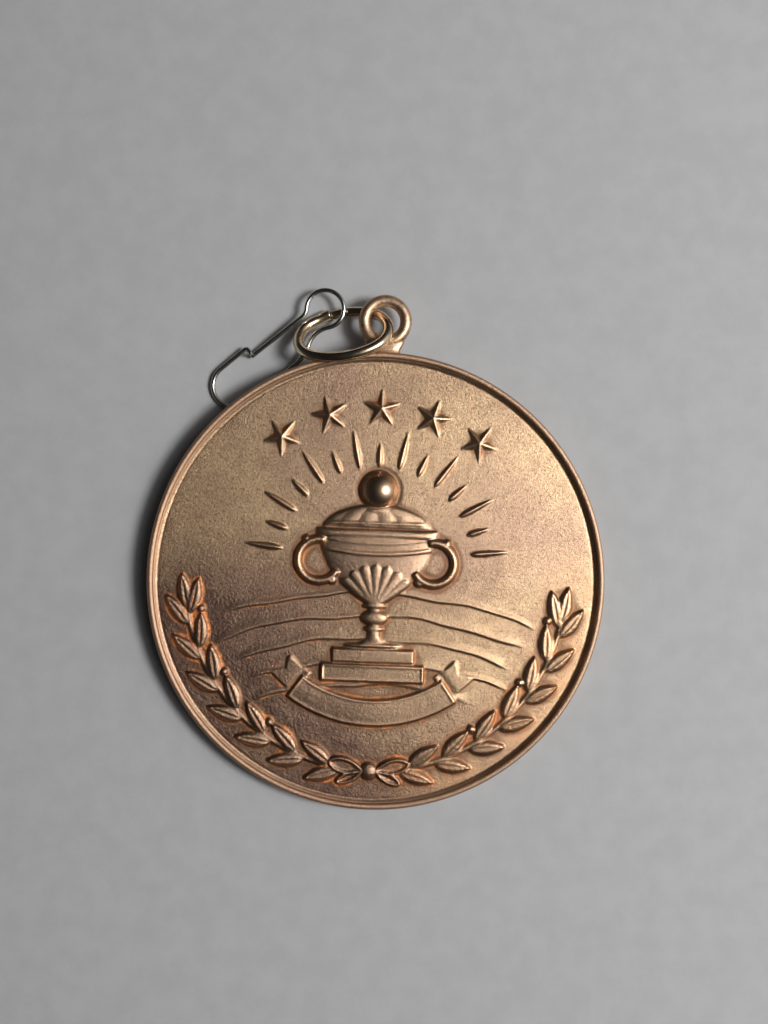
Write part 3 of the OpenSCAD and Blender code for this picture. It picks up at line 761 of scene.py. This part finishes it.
def build_hook():
    """One bent wire: catch, U-bend, straight leg, pinched loop, and the root of the gate."""
    def beside_loop(r, t):
        """Centre at height t of a bend of radius r that touches the loop."""
        return LOOP_AT[0] - across(LOOP_R + r, abs(t - LOOP_AT[1])), t

    neck = beside_loop(NECK_R, NECK_LIFT - NECK_R)
    top_neck = beside_loop(GATE_NECK_R, GATE_T + GATE_NECK_R)
    fillet = (neck[0] - across(NECK_R + LEG_FILLET, LEG_FILLET - neck[1]), LEG_FILLET)
    catch = np.array([U_R + SHORT_LEG, HOOK_W, 0])
    bend = chain(
        line((CATCH_R, CATCH_REACH, 0), (CATCH_R, CATCH_R, 0)),
        arc((0, CATCH_R), CATCH_R, 0, -90),
    )
    bend = bend @ spin((180 - CATCH_LIFT, 0, 0)).T + catch
    path = chain(
        bend,
        line(catch, (U_R, HOOK_W, 0)),
        arc((U_R, U_R), U_R, 90, 270),
        line((U_R, 0, 0), (fillet[0], 0, 0)),
        arc(fillet, LEG_FILLET, 270, 360 + heading(fillet, neck)),
        arc(neck, NECK_R, 180 + heading(fillet, neck), heading(neck, LOOP_AT)),
        arc(LOOP_AT, LOOP_R, heading(LOOP_AT, neck), heading(LOOP_AT, top_neck)),
        arc(top_neck, GATE_NECK_R, 360 + heading(top_neck, LOOP_AT), 270),
    )
    root = (top_neck[0], GATE_T, 0)
    tip = (catch[0] + GATE_TIP[0], GATE_T + GATE_TIP[1], GATE_TIP[2])
    straight = np.array(line(root, tip))
    turn = spin(HOOK_TURN).T
    hook = tube("wire_hook", path @ turn + HOOK_AT, HOOK_WIRE_R, around=20, flaws=0.006,
                ends=("cut", "round"))
    gate = tube("spring_gate", straight @ turn + HOOK_AT, GATE_WIRE_R, around=20, flaws=0.006,
                ends=("round", "cut"))
    return hook, gate


# ---------------------------------------------------------------- materials
# Noise scales are per metre and bump distances in metres; colours are linear
class Nodes:
    """Small helper that adds and links shader nodes."""

    def __init__(self, name):
        self.material = bpy.data.materials.new(name)
        self.material.use_nodes = True
        self.tree = self.material.node_tree
        self.shader = self.tree.nodes["Principled BSDF"]

    def add(self, kind, inputs=None, **settings):
        node = self.tree.nodes.new("ShaderNode" + kind)
        for key, value in settings.items():
            setattr(node, key, value)
        for key, value in (inputs or {}).items():
            self.feed(node.inputs[key], value)
        return node

    def feed(self, socket, value):
        """Links a socket, or sets it to a value."""
        if isinstance(value, bpy.types.NodeSocket):
            self.tree.links.new(value, socket)
        else:
            socket.default_value = value

    def layer(self, name):
        """A number read from the vertices."""
        return self.add("Attribute", attribute_name=name).outputs["Fac"]

    def noise(self, scale, detail, rough=0.5, vector=None, distortion=0.0):
        node = self.add("TexNoise", {"Scale": scale, "Detail": detail, "Roughness": rough,
                                     "Distortion": distortion})
        self.feed(node.inputs["Vector"], vector or self.place)
        return node.outputs["Fac"]

    @property
    def place(self):
        return self.add("TexCoord").outputs["Object"]

    def spread(self, value, low, high, to_low=0.0, to_high=1.0):
        """Eased map from one range to another."""
        node = self.add("MapRange", {"Value": value, "From Min": low, "From Max": high,
                                     "To Min": to_low, "To Max": to_high})
        node.interpolation_type = "SMOOTHSTEP"
        return node.outputs["Result"]

    def math(self, operation, a, b, c=0.0):
        node = self.add("Math", operation=operation)
        for socket, value in zip(node.inputs, (a, b, c)):
            self.feed(socket, value)
        return node.outputs[0]

    def blend(self, factor, a, b):
        """Colour a where the factor is 0 and b where it is 1."""
        node = self.add("Mix", data_type="RGBA", blend_type="MIX")
        self.feed(node.inputs["Factor"], factor)
        for socket, value in ((node.inputs[6], a), (node.inputs[7], b)):
            self.feed(socket, value if isinstance(value, bpy.types.NodeSocket) else (*value, 1))
        return node.outputs[2]

    def wash(self, color, amount, strength, tint):
        """Blends a tint over the colour, by a mask times a strength."""
        return self.blend(self.math("MULTIPLY", amount, strength), color, tint)

    def shift(self, value, amount, by):
        """Adds a mask times a number."""
        return self.math("ADD", value, self.math("MULTIPLY", amount, by))

    def bump(self, height, strength, distance, after=None):
        node = self.add("Bump", {"Height": height, "Strength": strength, "Distance": distance})
        if after:
            self.feed(node.inputs["Normal"], after)
        return node.outputs["Normal"]

    def finish(self, color, roughness, normal, metallic=1.0):
        self.feed(self.shader.inputs["Base Color"], color)
        self.feed(self.shader.inputs["Roughness"], roughness)
        self.feed(self.shader.inputs["Metallic"], metallic)
        self.feed(self.shader.inputs["Normal"], normal)
        return self.material


def bronze_material():
    """Sand-blasted bronze: patina in the recesses, warm wear on the tops, painted shade towards
    the left, bottom and top, and painted coppery reflections in the creases.
    """
    n = Nodes("struck_bronze")
    sunk, proud, shine, toned, rim, crease, high, glow = (n.layer(name) for name in LAYERS)
    broad = n.noise(38, 3, 0.5)
    patch = n.noise(170, 5, 0.6, distortion=0.6)
    mottle = n.noise(620, 4, 0.65)
    speck = n.noise(2600, 2, 0.6)
    color = n.blend(n.spread(broad, 0.36, 0.66), (0.45, 0.29, 0.195), (0.60, 0.41, 0.24))
    color = n.wash(color, n.spread(patch, 0.45, 0.75), 0.35, (0.37, 0.235, 0.155))
    color = n.wash(color, n.spread(mottle, 0.45, 0.72), 0.4, (0.32, 0.20, 0.13))
    color = n.wash(color, n.spread(speck, 0.52, 0.7), 0.6, (0.22, 0.13, 0.08))
    color = n.wash(color, n.spread(speck, 0.4, 0.3), 0.4, (0.74, 0.53, 0.30))
    # Patina and painted shade, broken up by noise
    tone = n.math("MULTIPLY", toned, n.spread(n.math("ADD", patch, mottle), 0.7, 1.2, 0.6, 1))
    color = n.wash(color, high, 0.3, (0.72, 0.48, 0.31))
    # Dark patina and painted shade over the colour
    color = n.wash(color, tone, 0.94, (0.14, 0.08, 0.062))
    worn = n.math("MULTIPLY", n.spread(proud, 0.1, 0.75), n.spread(patch, 0.3, 0.7, 0.4, 1))
    worn = n.math("MULTIPLY", worn, n.math("MULTIPLY_ADD", tone, -0.55, 1))
    color = n.wash(color, worn, 0.6, (0.76, 0.47, 0.29))
    glow = n.math("MULTIPLY", glow, n.spread(patch, 0.35, 0.65, 0.15, 0.7))
    color = n.blend(glow, color, (0.64, 0.37, 0.20))
    depth = n.spread(n.math("ADD", sunk, n.math("MULTIPLY", patch, 0.3)), 0.42, 0.95)
    color = n.wash(color, depth, 0.72, (0.20, 0.105, 0.06))
    # Painted reflection: coppery orange in patches along the creases at the feet of the relief and
    # in the rim's groove, strongest where the painted shade lies
    glint = n.math("MULTIPLY", n.spread(mottle, 0.42, 0.6, 0.15, 1),
                   n.spread(patch, 0.44, 0.58, 0.1, 1))
    copper = n.math("MULTIPLY", n.spread(crease, 0.12, 0.6), glint)
    copper = n.math("MULTIPLY", copper, n.math("MULTIPLY_ADD", toned, 1.1, 0.2))
    color = n.blend(copper, color, (0.66, 0.27, 0.11))
    color = n.wash(color, rim, 0.7, (0.52, 0.335, 0.225))
    color = n.blend(shine, color, (0.62, 0.42, 0.28))
    rough = n.spread(patch, 0.3, 0.75, 0.31, 0.39)
    for mask, by in ((depth, 0.14), (tone, 0.08), (worn, -0.03), (rim, 0.14)):
        rough = n.shift(rough, mask, by)
    rough = n.math("MULTIPLY", rough, n.math("MULTIPLY_ADD", shine, -0.15, 1))
    matt = n.math("MULTIPLY", n.math("MULTIPLY_ADD", shine, -0.97, 1),
                  n.math("MULTIPLY_ADD", high, -0.2, 1))
    grain = n.math("MULTIPLY", n.noise(6500, 3, 0.7), matt)
    coarse = n.math("MULTIPLY", n.noise(2400, 3, 0.55), n.math("MULTIPLY", matt,
                    n.math("MULTIPLY_ADD", tone, 1.7, 0.85)))
    normal = n.bump(grain, 1.0, 0.00006)
    normal = n.bump(coarse, 0.7, 0.00006, normal)
    return n.finish(color, rough, normal)


def eye_material():
    """Cast copper-bronze, satin, browned where it is brazed."""
    n = Nodes("cast_bronze")
    sunk = n.layer("sunk")
    cloud = n.noise(260, 4, 0.6)
    pits = n.noise(1500, 4, 0.6)
    color = n.blend(n.spread(cloud, 0.35, 0.7), (0.50, 0.32, 0.21), (0.70, 0.49, 0.32))
    color = n.wash(color, n.spread(pits, 0.5, 0.7), 0.55, (0.26, 0.15, 0.09))
    stain = n.math("MULTIPLY", sunk, n.spread(cloud, 0.2, 0.65, 0.5, 1))
    color = n.wash(color, stain, 0.75, (0.22, 0.12, 0.07))
    rough = n.shift(n.spread(cloud, 0.3, 0.7, 0.36, 0.48), stain, 0.2)
    normal = n.bump(n.noise(3800, 4, 0.65), 0.8, 0.00005)
    normal = n.bump(n.noise(620, 3, 0.5), 0.4, 0.0001, normal)
    return n.finish(color, rough, normal)


def wire_material(name, light, dark, rough_low, rough_high, stain, lines):
    """Drawn wire: fine lines along its length, tarnish in patches, bright cut ends."""
    n = Nodes(name)
    along, cut = n.layer("along"), n.layer("cut_end")
    place = n.add("SeparateXYZ", {"Vector": n.place})
    stretched = n.add("CombineXYZ", {
        "X": n.math("MULTIPLY", place.outputs[2], 5200),
        "Y": n.math("MULTIPLY", along, 90),
        "Z": n.math("MULTIPLY", n.math("SUBTRACT", place.outputs[0], place.outputs[1]), 2600),
    }).outputs[0]
    drawn = n.noise(1.0, 3, 0.6, vector=stretched)
    cloud = n.noise(330, 4, 0.6, distortion=0.4)
    speck = n.noise(1900, 3, 0.6)
    color = n.blend(n.spread(cloud, 0.36, 0.66), light, dark)
    color = n.wash(color, n.spread(speck, 0.6, 0.78), 0.45, stain)
    color = n.wash(color, n.spread(drawn, 0.55, 0.8), 0.18, stain)
    color = n.wash(color, cut, 0.6, tuple(min(1, c * 1.12) for c in light))
    rough = n.spread(cloud, 0.32, 0.7, rough_low, rough_high)
    for mask in (n.spread(speck, 0.6, 0.8), cut):
        rough = n.shift(rough, mask, 0.12)
    normal = n.bump(drawn, lines, 0.00003)
    normal = n.bump(cloud, 0.25, 0.00006, normal)
    return n.finish(color, rough, normal)


# ---------------------------------------------------------------- pieces
def dress(piece, body, node, material):
    """Gives a piece its material and body, and hides the solid it stands for."""
    piece.data.materials.clear()
    piece.data.materials.append(material)
    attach(piece, body)
    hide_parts(node)


brass = wire_material("drawn_brass", (0.85, 0.71, 0.54), (0.75, 0.56, 0.36), 0.09, 0.24,
                      (0.25, 0.15, 0.08), 0.3)
steel = wire_material("drawn_steel", (0.62, 0.61, 0.58), (0.45, 0.43, 0.39), 0.13, 0.24,
                      (0.24, 0.20, 0.15), 0.45)
dress(build_medal(), "medal", "medal_disc", bronze_material())
dress(build_eye(), "medal", "suspension_eye", eye_material())
dress(build_ring(), "ring", "jump_ring", brass)
hook, gate = build_hook()
dress(hook, "hook", "hook_wire", steel)
dress(gate, "gate", "hook_gate", steel)


# ---------------------------------------------------------------- stage
def build_floor():
    """Table, tilted to touch the medal's lower back edge and the ring at its top."""
    low_edge = WALL_R - BEVEL_W
    ring_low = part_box("jump_ring")[0][2] / MM
    ring_low_y, size = 41.2, 900
    slope = ring_low / (ring_low_y + low_edge)
    verts = [
        (x, y, slope * (y + low_edge) - 0.01)
        for x, y in ((-size, -size), (size, -size), (size, size), (-size, size))
    ]
    floor = new_object("table", verts, [[0, 1, 2, 3]], False)
    n = Nodes("pale_paper")
    mottle = n.noise(260, 5, 0.6)
    color = n.blend(n.spread(mottle, 0.3, 0.7), (0.395, 0.395, 0.40), (0.425, 0.425, 0.43))
    floor.data.materials.append(n.finish(color, 0.85, n.bump(n.noise(1500, 3), 0.15, 0.0001), 0.0))


def build_lights():
    """A window-like key on the right with a softer halo round it, in a dim room
    that brightens towards it, and a little on the far side."""
    off, turn, distance = math.radians(39), math.radians(3), 0.55
    target, horizon = Vector((0, 0.006, 0)), Vector((0.86, 0.12, 0.5))
    way = Vector((
        math.sin(off) * math.cos(turn), math.sin(off) * math.sin(turn), math.cos(off)
    ))
    for name, size, energy in (("key", 0.15, 2.3), ("halo", 0.4, 0.85)):
        lamp = bpy.data.lights.new(name, "AREA")
        lamp.shape = "DISK"
        lamp.size = size
        lamp.energy = energy
        light = bpy.data.objects.new(name, lamp)
        light.location = target + way * distance
        light.rotation_euler = way.to_track_quat("Z", "Y").to_euler()
        bpy.context.scene.collection.objects.link(light)
    world = bpy.data.worlds.new("studio")
    bpy.context.scene.world = world
    world.use_nodes = True
    nodes, links = world.node_tree.nodes, world.node_tree.links
    place = nodes.new("ShaderNodeTexCoord")
    near_key = nodes.new("ShaderNodeVectorMath")
    near_key.operation = "DOT_PRODUCT"
    near_key.inputs[1].default_value = horizon.normalized()
    far_side, glow = nodes.new("ShaderNodeMath"), nodes.new("ShaderNodeMath")
    far_side.operation, glow.operation = "MULTIPLY", "MAXIMUM"
    far_side.inputs[1].default_value = -0.84
    dome = nodes.new("ShaderNodeValToRGB")
    dome.color_ramp.interpolation = "EASE"
    stops = dome.color_ramp.elements
    stops[0].position, stops[0].color = 0.0, (0.009, 0.009, 0.011, 1)
    stops[1].position, stops[1].color = 1.0, (0.66, 0.63, 0.56, 1)
    for at, grey in ((0.5, 0.026), (0.75, 0.15)):
        stops.new(at).color = (grey, grey, grey, 1)
    links.new(place.outputs["Generated"], near_key.inputs[0])
    links.new(near_key.outputs["Value"], far_side.inputs[0])
    links.new(near_key.outputs["Value"], glow.inputs[0])
    links.new(far_side.outputs[0], glow.inputs[1])
    links.new(glow.outputs[0], dome.inputs[0])
    links.new(dome.outputs[0], nodes["Background"].inputs["Color"])


def build_camera():
    """Straight above the medal, turned a little, as close as the photograph's view."""
    camera = bpy.data.cameras.new("camera")
    camera.sensor_fit = "VERTICAL"
    camera.sensor_height = 24
    camera.lens = 24.57
    camera.clip_start = 0.01
    obj = bpy.data.objects.new("camera", camera)
    obj.location = (0.000905, 0.01059, 0.1632)
    obj.rotation_euler = (0, 0, math.radians(2.14))
    bpy.context.scene.collection.objects.link(obj)
    bpy.context.scene.camera = obj


build_floor()
build_lights()
build_camera()
bpy.context.scene.view_settings.view_transform = "Standard"
